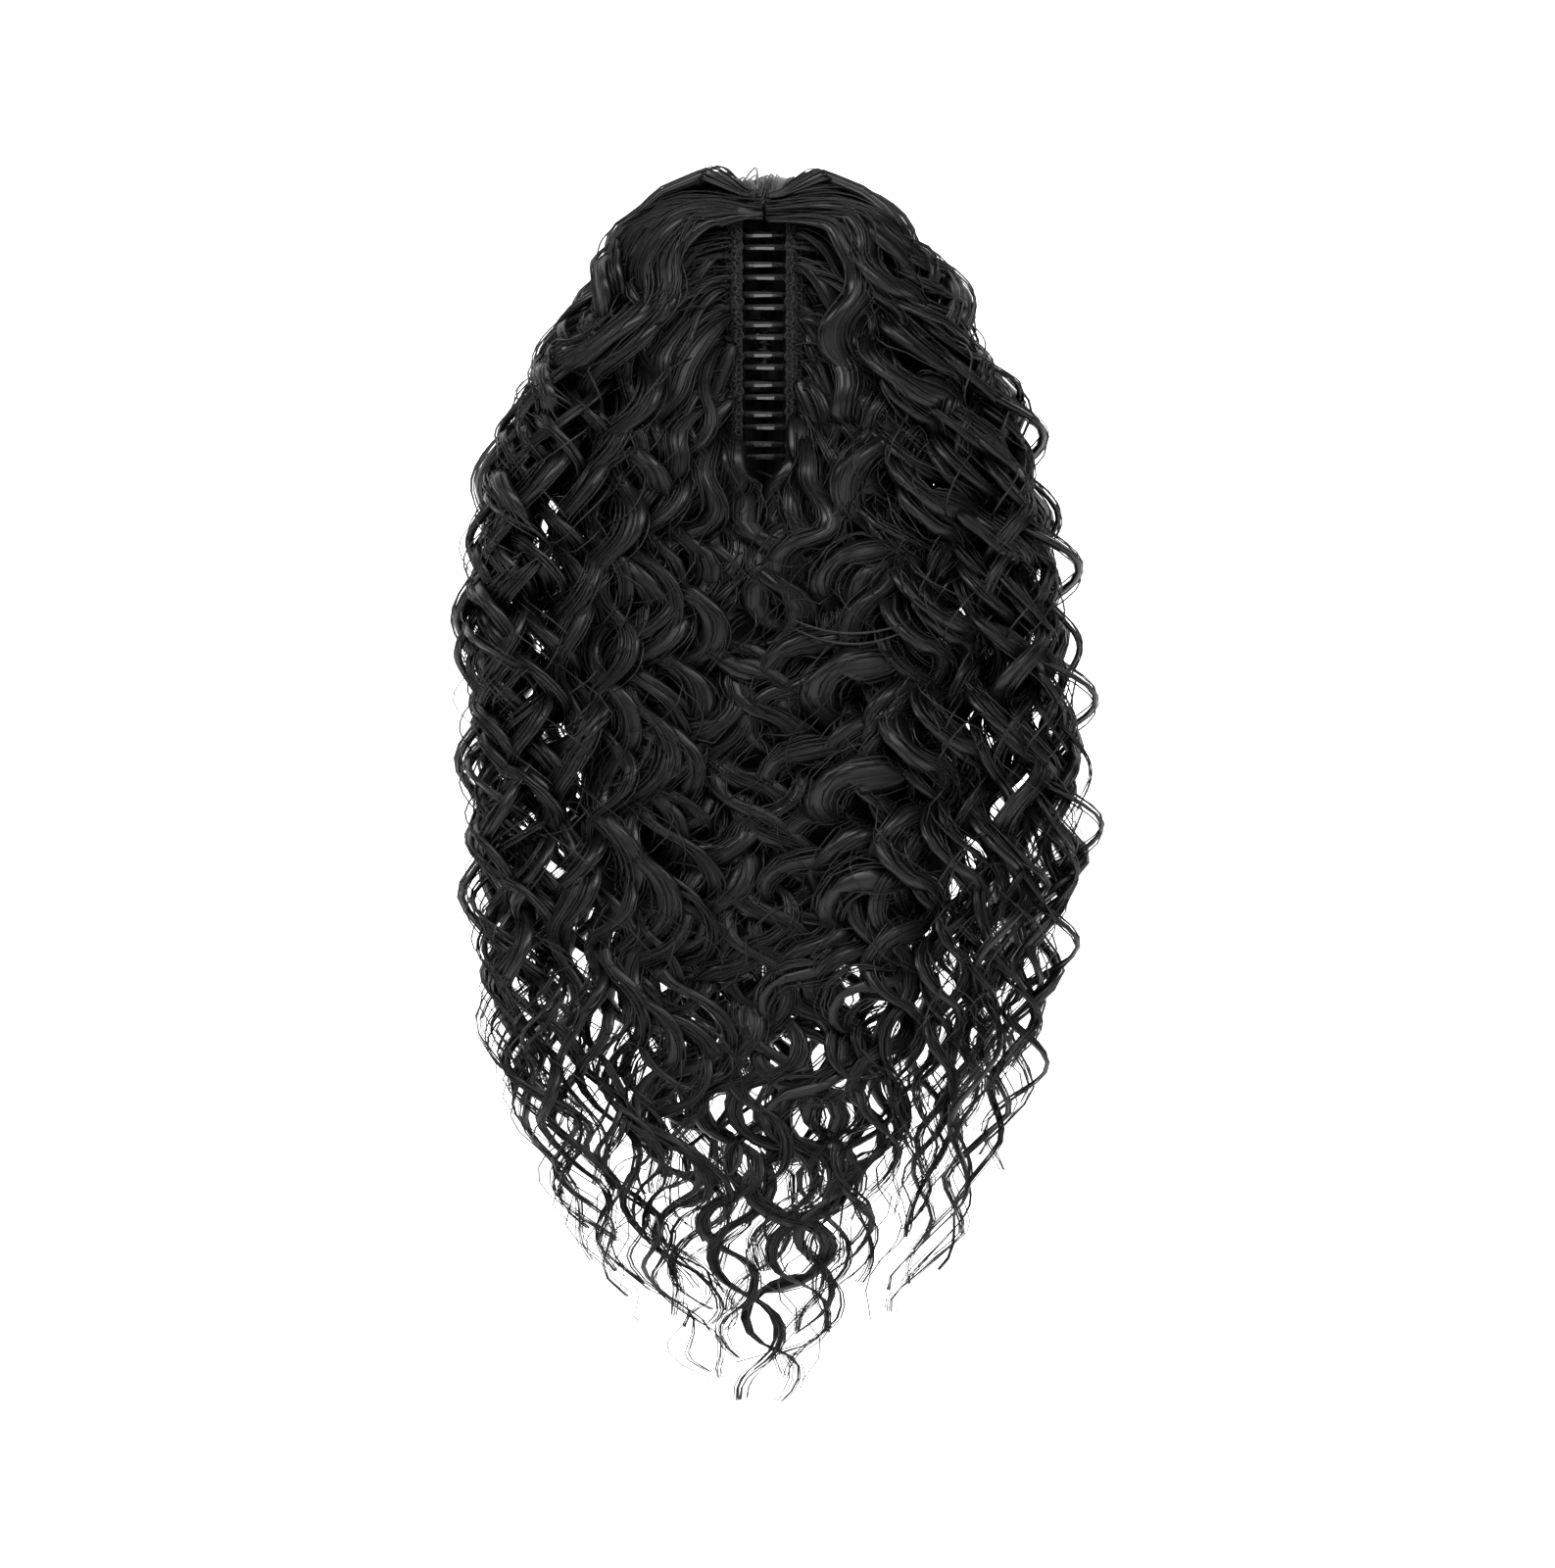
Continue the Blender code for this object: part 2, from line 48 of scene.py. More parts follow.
# Shared sizes of the hair, in metres
hairForm = {
    "top": 0.0580,
    "length": 0.4060,
    "left": 0.1000,
    "right": 0.1050,
    "front": 0.0400,
    "back": 0.0480,
    "partingY": 0.0185,  # the hinge pin's place, behind the grip
    "clawReach": 0.0192,  # outside of the weft bands
    "clawHalf": 0.0445,  # half of the claw's height, with room
    "seed": 41,
}

# Share of the length from the top, then shares of the left and right widths and the front and back depths
outlineTable = np.array([
    (0.000, 0.14, 0.15, 0.24, 0.24),
    (0.018, 0.33, 0.31, 0.54, 0.58),
    (0.045, 0.46, 0.44, 0.70, 0.80),
    (0.080, 0.56, 0.57, 0.78, 0.92),
    (0.130, 0.67, 0.63, 0.82, 0.97),
    (0.170, 0.76, 0.75, 0.86, 1.00),
    (0.215, 0.86, 0.81, 0.90, 1.00),
    (0.260, 0.91, 0.87, 0.92, 1.00),
    (0.340, 0.98, 0.93, 1.00, 1.00),
    (0.450, 0.98, 0.98, 1.00, 1.00),
    (0.555, 0.99, 1.00, 0.98, 0.98),
    (0.640, 0.95, 0.92, 0.95, 0.94),
    (0.740, 0.89, 0.83, 0.86, 0.84),
    (0.840, 0.70, 0.69, 0.70, 0.70),
    (0.900, 0.55, 0.56, 0.58, 0.56),
    (0.940, 0.42, 0.47, 0.46, 0.42),
    (0.970, 0.30, 0.32, 0.30, 0.28),
    (1.000, 0.08, 0.08, 0.12, 0.12),
])


def smooth(value, start, end):
    # 0 up to start, 1 from end, and 3t^2 - 2t^3 between them
    t = np.clip((value - start) / (end - start), 0, 1)
    return t * t * (3 - 2 * t)


def formPoint(side, down, turn, reach):
    # A point of the hair's outline: width times sine of turn to the side, depth times cosine of turn forward
    column = np.where(side > 0, 2, 1)
    width = np.where(
        column == 2,
        np.interp(down, outlineTable[:, 0], outlineTable[:, 2]) * hairForm["right"],
        np.interp(down, outlineTable[:, 0], outlineTable[:, 1]) * hairForm["left"],
    )
    front = np.interp(down, outlineTable[:, 0], outlineTable[:, 3]) * hairForm["front"]
    back = np.interp(down, outlineTable[:, 0], outlineTable[:, 4]) * hairForm["back"]
    depth = np.where(np.cos(turn) > 0, front, back)
    height = hairForm["top"] - down * hairForm["length"]
    x = side * width * reach * np.sin(turn)
    y = -depth * reach * np.cos(turn)
    return np.stack([x, y, height + 0 * turn], -1)


def unit(vectors):
    return vectors / np.maximum(np.linalg.norm(vectors, axis=-1, keepdims=True), 1e-9)


def alongPath(points):
    # Direction of each point's path, from the differences of its neighbours
    return unit(np.gradient(points, axis=-2))


def addMesh(name, points, faces, uv=None, shade=None):
    # Points and faces as one mesh object, with a UV map per corner and a shade per point
    mesh = bpy.data.meshes.new(name)
    faces = np.asarray(faces, np.int32)
    mesh.vertices.add(len(points))
    mesh.vertices.foreach_set("co", points.astype(np.float32).ravel())
    mesh.loops.add(faces.size)
    mesh.loops.foreach_set("vertex_index", faces.ravel())
    mesh.polygons.add(len(faces))
    mesh.polygons.foreach_set("loop_start", np.arange(0, faces.size, faces.shape[1], dtype=np.int32))
    mesh.update(calc_edges=True)
    if uv is not None:
        layer = mesh.uv_layers.new(name="alongHair")
        layer.data.foreach_set("uv", uv[faces.ravel()].astype(np.float32).ravel())
    if shade is not None:
        layer = mesh.attributes.new("shade", "FLOAT", "POINT")
        layer.data.foreach_set("value", shade.astype(np.float32))
    mesh.validate()
    mesh.shade_smooth()
    obj = bpy.data.objects.new(name, mesh)
    bpy.context.scene.collection.objects.link(obj)
    return obj


def tubes(paths, across, outward, width, thickness, sides, shade):
    # Closed tubes along many paths at once. Each ring is an ellipse: across times width times sine,
    # plus outward times thickness times cosine. Both ends close on one point.
    count, stations = paths.shape[:2]
    turn = np.arange(sides) / sides * 2 * np.pi
    ring = (
        paths[:, :, None]
        + across[:, :, None] * (np.sin(turn) * width[:, :, None])[..., None]
        + outward[:, :, None] * (np.cos(turn) * thickness[:, :, None])[..., None]
    )
    ends = paths[:, [0, -1]]
    points = np.concatenate([ring.reshape(count, -1, 3), ends], 1)
    size = stations * sides + 2
    rows = np.arange(stations - 1)[:, None] * sides
    here = np.arange(sides)[None]
    there = (here + 1) % sides
    quads = np.stack([rows + here, rows + there, rows + sides + there, rows + sides + here], -1)
    quads = quads.reshape(-1, 4)
    walls = np.concatenate([quads[:, [0, 1, 2]], quads[:, [0, 2, 3]]])
    first, last = stations * sides, stations * sides + 1
    lastRow = (stations - 1) * sides
    here, there = here[0], there[0]
    caps = np.concatenate([
        np.stack([there, here, np.full(sides, first)], -1),
        np.stack([lastRow + here, lastRow + there, np.full(sides, last)], -1),
    ])
    one = np.concatenate([walls, caps])
    faces = (one[None] + np.arange(count)[:, None, None] * size).reshape(-1, 3)
    grid = (count, stations, sides)
    u = np.broadcast_to(here / sides, grid).reshape(count, -1)
    v = np.broadcast_to(np.linspace(0, 1, stations)[None, :, None], grid).reshape(count, -1)
    u = np.concatenate([u, np.full((count, 2), 0.5)], 1)
    v = np.concatenate([v, np.zeros((count, 1)), np.ones((count, 1))], 1)
    uv = np.stack([u, v], -1).reshape(-1, 2)
    shades = np.repeat(shade, size)
    return points.reshape(-1, 3), faces, uv, shades


def joined(name, parts):
    # Several groups of tubes as one mesh
    points, faces, uvs, shades = zip(*parts)
    bases = np.cumsum([0] + [len(group) for group in points[:-1]])
    faces = np.concatenate([group + base for group, base in zip(faces, bases)])
    print(name, len(faces), "triangles")
    return addMesh(name, np.concatenate(points), faces, np.concatenate(uvs), np.concatenate(shades))


class Socket:
    # A node's output. + - * / on it add Math nodes, and put() adds any other node.
    def __init__(self, tree, output):
        self.tree, self.output = tree, output

    def put(self, kind, settings=None, values=None, out=0):
        node = self.tree.nodes.new(kind)
        for key, value in (settings or {}).items():
            if key == "ramp":
                elements = node.color_ramp.elements
                while len(elements) < len(value):
                    elements.new(1.0)
                for element, (place, colour) in zip(elements, value):
                    element.position, element.color = place, (*colour, 1)
            else:
                setattr(node, key, value)
        for key, value in (values or {}).items():
            if isinstance(value, Socket):
                self.tree.links.new(value.output, node.inputs[key])
            else:
                node.inputs[key].default_value = value
        return Socket(self.tree, node.outputs[out])

    def maths(self, operation, first, second=0.0):
        return self.put("ShaderNodeMath", {"operation": operation}, {0: first, 1: second})

    def __add__(self, other):
        return self.maths("ADD", self, other)

    __radd__ = __add__

    def __sub__(self, other):
        return self.maths("SUBTRACT", self, other)

    def __rsub__(self, other):
        return self.maths("SUBTRACT", other, self)

    def __mul__(self, other):
        return self.maths("MULTIPLY", self, other)

    __rmul__ = __mul__

    def __pow__(self, other):
        return self.maths("POWER", self, other)


def newMaterial(name, colour, roughness, settings=None):
    # A Principled material with its constants set, and the maker of its first socket
    made = bpy.data.materials.new(name)
    made.use_nodes = True
    tree = made.node_tree
    shader = tree.nodes["Principled BSDF"]
    shader.inputs["Base Color"].default_value = (*colour, 1)
    shader.inputs["Roughness"].default_value = roughness
    for key, value in (settings or {}).items():
        shader.inputs[key].default_value = value
    return made, Socket(tree, None), shader


def connect(maker, value, shader, name):
    maker.tree.links.new(value.output, shader.inputs[name])


fibreLook = {
    "dark": (0.0008, 0.0008, 0.0008),
    "light": (0.0055, 0.0054, 0.0053),
    "roughLow": 0.28,
    "roughHigh": 0.46,
    "ridges": 26.0,
    "bump": 0.35,
    "bumpDepth": 0.0006,
}


def makeFibre(name, ridges, bump):
    # Black fibre: fine ridges run along each lock, and its tone changes from lock to lock and along it
    made, maker, shader = newMaterial(name, fibreLook["dark"], 0.45, {"Specular IOR Level": 0.34})
    uv = maker.put("ShaderNodeUVMap", {"uv_map": "alongHair"})
    place = maker.put("ShaderNodeVectorMath", {"operation": "MULTIPLY"}, {0: uv, 1: (ridges, 3.0, 1.0)})
    shade = maker.put("ShaderNodeAttribute", {"attribute_name": "shade"}, out=2)
    shift = maker.put("ShaderNodeCombineXYZ", values={"Z": shade * 40.0})
    moved = maker.put("ShaderNodeVectorMath", {"operation": "ADD"}, {0: place, 1: shift})
    streak = maker.put("ShaderNodeTexNoise", values={"Vector": moved, "Scale": 1.0, "Detail": 3.0})
    obj = maker.put("ShaderNodeTexCoord", out=3)
    patch = maker.put("ShaderNodeTexNoise", values={"Vector": obj, "Scale": 45.0, "Detail": 2.0})
    tone = streak * 0.5 + shade * 0.35 + patch * 0.3 - 0.1
    dark, light = (*fibreLook["dark"], 1), (*fibreLook["light"], 1)
    colour = maker.put("ShaderNodeMix", {"data_type": "RGBA"}, {0: tone, 6: dark, 7: light}, out=2)
    connect(maker, colour, shader, "Base Color")
    low, high = fibreLook["roughLow"], fibreLook["roughHigh"]
    connect(maker, streak * (high - low) + low, shader, "Roughness")
    depth = fibreLook["bumpDepth"]
    bumped = maker.put("ShaderNodeBump", values={"Height": streak, "Strength": bump, "Distance": depth})
    connect(maker, bumped, shader, "Normal")
    return made


fibreMaterial = makeFibre("hairFibre", fibreLook["ridges"], fibreLook["bump"])
strandMaterial = makeFibre("hairStrand", 2.0, 0.05)
print("fibre materials")

# Layers of curled locks of one half. Across is the share of the half width that a lock hangs at, from the
# middle outwards. Front layers lie before the middle plane and back layers behind it. Reach is the share of
# the outline, rootZ the heights of the roots, and tip the share of the hair's length where the locks end.
lockLayers = [
    {"name": "crownFront", "count": 7, "across": (0.46, 1.00), "front": True, "reach": (0.92, 1.04),
     "rootZ": (0.0410, 0.0470), "tip": (0.70, 0.95), "width": 0.0078, "strands": 10, "curl": 0.0105,
     "calm": 0.030, "clumps": 1, "stations": 118, "leaves": 0.11, "power": 1.45, "offset": 0.4},
    {"name": "crownTop", "count": 7, "across": (0.26, 1.00), "front": False, "reach": (0.97, 1.03),
     "rootZ": (0.0460, 0.0500), "tip": (0.60, 0.86), "width": 0.0085, "strands": 8, "curl": 0.0100,
     "calm": 0.042, "clumps": 1, "stations": 96, "leaves": 0.12, "power": 1.75, "offset": 1.7},
    {"name": "frontUpper", "count": 7, "across": (0.32, 0.98), "front": True, "reach": (0.78, 0.99),
     "rootZ": (0.0060, 0.0370), "tip": (0.70, 0.96), "width": 0.0072, "strands": 10, "curl": 0.0108,
     "calm": 0.024, "clumps": 1, "stations": 114, "leaves": 0.14, "power": 1.15, "offset": 2.9},
    {"name": "frontMiddle", "count": 7, "across": (0.14, 0.88), "front": True, "reach": (0.80, 1.03),
     "rootZ": (-0.0300, 0.0060), "tip": (0.74, 1.00), "width": 0.0070, "strands": 10, "curl": 0.0105,
     "calm": 0.018, "clumps": 2, "stations": 108, "leaves": 0.16, "power": 1.12, "offset": 4.1},
    {"name": "frontLower", "count": 6, "across": (-0.04, 0.52), "front": True, "reach": (0.84, 1.03),
     "rootZ": (-0.0440, -0.0300), "tip": (0.80, 1.02), "width": 0.0066, "strands": 10, "curl": 0.0100,
     "calm": 0.012, "clumps": 1, "stations": 100, "leaves": 0.22, "power": 1.08, "offset": 5.2},
    {"name": "inner", "count": 7, "across": (0.06, 0.90), "front": True, "reach": (0.45, 0.66),
     "rootZ": (-0.0380, 0.0300), "tip": (0.55, 0.72), "width": 0.0080, "strands": 4, "curl": 0.0090,
     "calm": 0.020, "clumps": 1, "stations": 80, "leaves": 0.20, "power": 1.1, "offset": 0.9},
    {"name": "sideLoose", "count": 9, "across": (0.86, 1.00), "front": True, "reach": (0.96, 1.03),
     "rootZ": (0.0160, 0.0470), "tip": (0.40, 0.84), "width": 0.0046, "strands": 6, "curl": 0.0130,
     "calm": 0.016, "clumps": 1, "stations": 112, "leaves": 0.16, "power": 1.15, "offset": 3.3},
    {"name": "clawSide", "count": 11, "across": (0.16, 0.72), "front": True, "reach": (0.66, 0.84),
     "rootZ": (-0.0400, 0.0385), "tip": (0.34, 0.60), "width": 0.0050, "strands": 8, "curl": 0.0070,
     "calm": 0.012, "clumps": 1, "stations": 69, "leaves": 0.22, "power": 1.15, "offset": 0.2},
    {"name": "flyaway", "count": 12, "across": (0.02, 1.00), "front": True, "reach": (0.96, 1.05),
     "rootZ": (-0.0400, 0.0450), "tip": (0.50, 1.00), "width": 0.0090, "strands": 2, "curl": 0.0115,
     "calm": 0.020, "clumps": 2, "stations": 72, "leaves": 0.16, "power": 1.15, "offset": 2.6, "bare": True},
    {"name": "backUpper", "count": 10, "across": (0.02, 0.97), "front": False, "reach": (0.88, 1.00),
     "rootZ": (0.0200, 0.0460), "tip": (0.66, 0.93), "width": 0.0080, "strands": 6, "curl": 0.0095,
     "calm": 0.030, "clumps": 1, "stations": 85, "leaves": 0.20, "power": 1.15, "offset": 2.2},
    {"name": "backCentre", "count": 3, "across": (-0.08, 0.34), "front": False, "reach": (0.94, 1.00),
     "rootZ": (0.0450, 0.0480), "tip": (0.80, 0.92), "width": 0.0095, "strands": 10, "curl": 0.0080,
     "calm": 0.080, "clumps": 1, "stations": 92, "leaves": 0.15, "power": 2.0, "offset": 4.8},
    {"name": "backLower", "count": 6, "across": (0.04, 0.80), "front": False, "reach": (0.68, 0.86),
     "rootZ": (-0.0360, 0.0100), "tip": (0.55, 0.76), "width": 0.0090, "strands": 5, "curl": 0.0090,
     "calm": 0.020, "clumps": 1, "stations": 76, "leaves": 0.20, "power": 1.1, "offset": 1.2},
]

curlForm = {
    "wavelength": (0.037, 0.051),
    "grows": 0.036,  # metres over which the curl grows to its full size
    "depthShare": (0.40, 0.34),  # of the curl's size before the face, and what the sides add to it
    "sideLoss": 0.25,  # how much less the curl swings along the face at the sides
    "round": 0.17,  # how far each bend is drawn down into a C, over its size
    "flat": 0.40,  # thickness over width
    "strand": 0.00030,  # radius
}


def lockLines(side, layer, turn, reach, rootZ, tip, seeds):
    # Middle line of each lock before its curl: from its root it goes to the outline by a smooth step, then
    # follows the outline down to its tip. The curl comes with it as an angle, 2 pi length over wavelength,
    # and a size.
    count, stations = len(turn), layer["stations"]
    u = np.linspace(0, 1, stations)[None]
    rng = np.random.default_rng(seeds)
    claw = hairForm["clawReach"] + 0.001
    if layer["name"] == "crownFront":
        root = np.stack([side * 0.0004 + 0 * rootZ, -0.0205 + 0 * rootZ, rootZ], -1)
    elif layer["name"] in ("crownTop", "backCentre"):
        beside = side * rng.uniform(0.0002, 0.0030, count)
        root = np.stack([beside, rng.uniform(-0.0185, -0.013, count), rootZ], -1)
    else:
        rootTurn = rng.uniform(0.50, 0.95, count) if layer["front"] else np.clip(turn, 0, 2.9)
        root = np.stack([side * claw * np.sin(rootTurn), -claw * np.cos(rootTurn), rootZ], -1)
    root = root[:, None] + 0 * u[..., None]
    lifts = {"crownFront": (0.004, 0.011), "crownTop": (0.009, 0.012), "backCentre": (0.011, 0.013)}
    rise = rng.uniform(*lifts.get(layer["name"], (0.002, 0.004)), (count, 1))
    rise = rise * np.sin(np.clip(u / 0.18, 0, 1) * np.pi)
    tipZ = hairForm["top"] - tip * hairForm["length"]
    z = rootZ[:, None] + rise - (rootZ - tipZ)[:, None] * u ** layer["power"]
    down = np.clip((hairForm["top"] - z) / hairForm["length"], 0.004, 1)
    drift = rng.normal(0, 0.07, (count, 1)) * np.sin(u * np.pi)
    drift = drift + rng.normal(0, 0.06, (count, 1)) * np.sin(u * 2.3 * np.pi)
    path = formPoint(side, down, turn[:, None] + drift, reach[:, None])
    path[..., 2] = z
    leave = smooth(u, 0.0, layer["leaves"] * rng.uniform(0.75, 1.25, (count, 1)))[..., None]
    path = root * (1 - leave) + path * leave
    outward = path * np.array([1.0, 1.9, 0.0])
    outward[..., 2] = 1.2 * np.clip(path[..., 2] - 0.004, 0.0001, None)
    outward = unit(outward)
    step = np.linalg.norm(np.diff(path, axis=1), axis=-1)
    run = np.concatenate([np.zeros((count, 1)), np.cumsum(step, 1)], 1)
    wavelength = rng.uniform(*curlForm["wavelength"], (count, 1))
    offset = layer["offset"] + 1.35 * side
    start = 2.4 * np.sin(2.7 * turn + offset) + 1.5 * np.sin(6.1 * turn + 2 * offset)
    wander = 0.14 * np.sin(run / 0.075 + rng.uniform(0, 6, (count, 1)))
    cycle = 2 * np.pi * (run / wavelength + wander) + start[:, None] + rng.normal(0, 0.5, (count, 1))
    grown = smooth(run, layer["calm"], layer["calm"] + curlForm["grows"])
    size = layer["curl"] * grown * rng.uniform(0.75, 1.35, (count, 1))
    size = size * (1 + 0.2 * np.sin(run / 0.06 + rng.uniform(0, 6, (count, 1))))
    size = size * (1 - 0.3 * smooth(u, 0.85, 1.0))
    hand = np.where(rng.uniform(0, 1, (count, 1)) < 0.5, -1.0, 1.0) * rng.uniform(0.6, 1.1, (count, 1))
    front, sides = curlForm["depthShare"]
    sideways = unit(np.cross(path * np.array([1.0, 1.9, 0.0]), np.array([0.0, 0.0, 1.0])))
    return {
        "path": path, "outward": outward, "sideways": sideways,
        "cycle": cycle, "size": size, "run": run,
        "deep": hand * (front + sides * np.sin(turn[:, None]) ** 2),
        "level": 1 - curlForm["sideLoss"] * np.sin(turn[:, None]) ** 2,
    }


def curled(line, lag=0.0, grow=1.0, strands=False):
    # Adds the curl: size times the sine of its angle sideways, a share of size times the cosine outwards, and
    # a small share of size times the sine of twice the angle up, which rounds each bend
    spread = (lambda value: value[:, None]) if strands else (lambda value: value)
    size = spread(line["size"]) * grow
    level, deep = spread(line["level"]), spread(line["deep"])
    swing = size * level * np.sin(spread(line["cycle"]) + lag)
    depth = deep * size * np.cos(spread(line["cycle"]) + lag) - 0.45 * size
    path = spread(line["path"]) + spread(line["sideways"]) * swing[..., None]
    path = path + spread(line["outward"]) * depth[..., None]
    rounded = curlForm["round"] * (level**2 - deep**2) / (level**2 + deep**2)
    path[..., 2] += rounded * size * np.sin(2 * (spread(line["cycle"]) + lag))
    return path


def clearOfClaw(path, width=0.0):
    # Pushes points inside the weft bands' cylinder out to it, and points before the teeth out to the sides of
    # the recess
    flat = path[..., :2]
    radius = np.linalg.norm(flat, axis=-1, keepdims=True)
    clear = hairForm["clawReach"] + 0.3 * width
    inside = (np.abs(path[..., 2:]) < hairForm["clawHalf"]) & (radius < clear)
    pushed = flat / np.maximum(radius, 1e-6) * clear
    flat = np.where(inside, pushed, flat)
    high = path[..., 2]
    ease = (1 - smooth(high, 0.0355, 0.0420)) * smooth(high, -0.0470, -0.0385)
    edge = 0.0082 + 0.4 * width + 0.10 * np.clip(-flat[..., 1] - 0.016, 0, 1)
    sign = np.where(np.median(path[..., 0], axis=-1, keepdims=True) < 0, -1.0, 1.0)
    short = np.clip(edge - flat[..., 0] * sign, 0, None) * ease * (flat[..., 1] < 0)
    x = flat[..., 0] + sign * short
    return np.concatenate([x[..., None], flat[..., 1:], path[..., 2:]], -1)


def sectionAxes(path, line, repeats=1):
    # A section lies level where the lock falls, so that its sides are the same wave moved over and never
    # fold, and square to the path where it runs level over the crown
    direction = alongPath(path)
    outward = np.repeat(line["outward"], repeats, 0)
    sideways = np.repeat(line["sideways"], repeats, 0)
    outward = unit(outward - direction * (outward * direction).sum(-1, keepdims=True))
    square = np.cross(direction, outward)
    falls = smooth(-direction[..., 2:], 0.15, 0.55)
    return unit(square * (1 - falls) + sideways * falls), outward


def lockTubes(line, layer, seeds, shade):
    # A lock: a flattened core, and fine strands beside each other over it that part into thin curls at the
    # tip. Each strand is the lock's wave moved over, a little late and a little larger or smaller than its
    # neighbours.
    rng = np.random.default_rng(seeds)
    count, stations = line["path"].shape[:2]
    width, strands = layer["width"], layer["strands"]
    u = np.linspace(0, 1, stations)[None]
    opens = 0.85 + 0.25 * np.sin(line["run"] / 0.030 + rng.uniform(0, 6, (count, 1)))
    body = width * opens * rng.uniform(0.7, 1.2, (count, 1))
    body = body * (0.08 + 0.92 * smooth(u, 0.0, 0.11)) * (1 - 0.50 * smooth(u, 0.45, 0.90))
    cut = int(stations * 0.97)
    taper = 0.88 * (1 - 0.80 * smooth(u, 0.85, 0.97))
    path = clearOfClaw(curled(line), width)
    across, outward = sectionAxes(path, line)
    core = tubes(
        path[:, :cut], across[:, :cut], outward[:, :cut],
        (body * taper)[:, :cut], (body * taper)[:, :cut] * curlForm["flat"], 8, shade,
    )
    clump = np.broadcast_to(np.arange(strands) * layer["clumps"] // strands, (count, strands))[..., None]
    apart = smooth(u, 0.50, 0.95)[:, None]
    place = (np.linspace(-1, 1, strands)[None] + rng.normal(0, 0.08, (count, strands)))[..., None]
    stray = (rng.uniform(0, 1, (count, strands, 1)) < 0.14) * rng.normal(0, 1.0, (count, strands, 1))
    split = (clump - 0.5 * (layer["clumps"] - 1)) * apart
    lag = (0.24 * place + rng.normal(0, 0.06, (count, strands, 1)) + 0.5 * stray) * (1 - 0.6 * apart)
    lag = lag + 1.2 * split
    grow = 1 + rng.normal(0, 0.07, (count, strands, 1)) + 0.10 * stray * smooth(u, 0.1, 0.4)[:, None]
    waver = rng.normal(0, 0.10, (count, strands, 1)) * np.sin(
        u[:, None] * rng.uniform(6, 20, (count, strands, 1)) + rng.uniform(0, 6, (count, strands, 1))
    )
    offset = (place + waver) * body[:, None] * (1 - 0.45 * apart) + 0.0060 * split
    lift = np.sqrt(np.clip(1.1 - place**2, 0.04, 1)) * rng.uniform(0.85, 1.3, (count, strands, 1))
    height = lift * body[:, None] * curlForm["flat"] * (1 + 1.2 * waver) + 0.0015 * np.abs(stray)
    lines = curled(line, lag, grow, strands=True)
    lines = lines + across[:, None] * offset[..., None] + outward[:, None] * height[..., None]
    lines = clearOfClaw(lines.reshape(-1, stations, 3), 0.4 * width)
    fine = curlForm["strand"] * (1 - 0.5 * smooth(u, 0.85, 1.0))[:, None]
    fine = fine * rng.uniform(0.7, 1.4, (count, strands, 1))
    fine = fine.reshape(-1, stations)
    lineAcross, facing = sectionAxes(lines, line, strands)
    tone = np.clip(np.repeat(shade, strands) + rng.normal(0, 0.2, count * strands), 0, 1)
    fibres = tubes(lines, lineAcross, facing, fine * 1.3, fine, 3, tone)
    return [fibres] if layer.get("bare") else [core, fibres]


def finishPiece(obj, material, body):
    obj.data.materials.append(material)
    if body:
        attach(obj, body)
    return obj


for word, side, body in (("Left", -1, "left_half"), ("Right", 1, "right_half")):
    for number, layer in enumerate(lockLayers):
        count = layer["count"]
        seeds = hairForm["seed"] + 100 * number + (7 if side > 0 else 0)
        rng = np.random.default_rng(seeds)
        spaced = (np.arange(count) + 0.5 + rng.uniform(-0.35, 0.35, count)) / count
        first, last = np.arcsin(layer["across"])
        turn = first + (last - first) * spaced
        if not layer["front"]:
            turn = np.pi - turn
        reach = rng.uniform(*layer["reach"], count)
        rank = np.clip(spaced + rng.uniform(-0.10, 0.10, count), 0, 1)
        low, high = layer["rootZ"]
        rootZ = low + (high - low) * rank  # outer locks start higher
        low, high = layer["tip"]
        tip = low + (high - low) * rng.permutation((np.arange(count) + 0.5) / count)
        line = lockLines(side, layer, turn, reach, rootZ, tip, seeds + 1)
        shade = rng.uniform(0.0, 1.0, count)
        groups = lockTubes(line, layer, seeds + 2, shade)
        obj = joined(layer["name"] + word, groups)
        behind = not layer["front"]
        finishPiece(obj, fibreMaterial, None if behind else body)
        if behind:
            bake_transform(obj)
print("curled locks")

# Two long strands side by side that sag across the front, on the right
sagForm = {
    "from": (0.0045, -0.0330, -0.0905),
    "to": (0.0500, -0.0340, -0.0925),
    "sag": 0.0075,
    "front": -0.0440,
    "apart": 0.0021,
    "radius": 0.00050,
    "stations": 40,
    "shades": (0.8, 0.6),
}
t = np.linspace(0, 1, sagForm["stations"])[None, :, None]
sagLine = np.array(sagForm["from"]) * (1 - t) + np.array(sagForm["to"]) * t
bow = 4 * t[..., 0] * (1 - t[..., 0])  # a parabola, nothing at both ends
sagLine = np.concatenate([sagLine, sagLine])
sagLine[..., 1] += (sagForm["front"] - sagLine[..., 1]) * bow**0.6
sagLine[..., 2] -= bow * np.array([[sagForm["sag"]], [sagForm["sag"] * 0.82]])
sagLine[1, :, 2] += sagForm["apart"]
sagAlong = alongPath(sagLine)
sagFacing = unit(np.array([0.0, -1.0, 0.0]) - sagAlong * -sagAlong[..., 1:2])
thin = sagForm["radius"] * np.sqrt(np.clip(bow, 0.15, 1)) + np.zeros((2, 1))
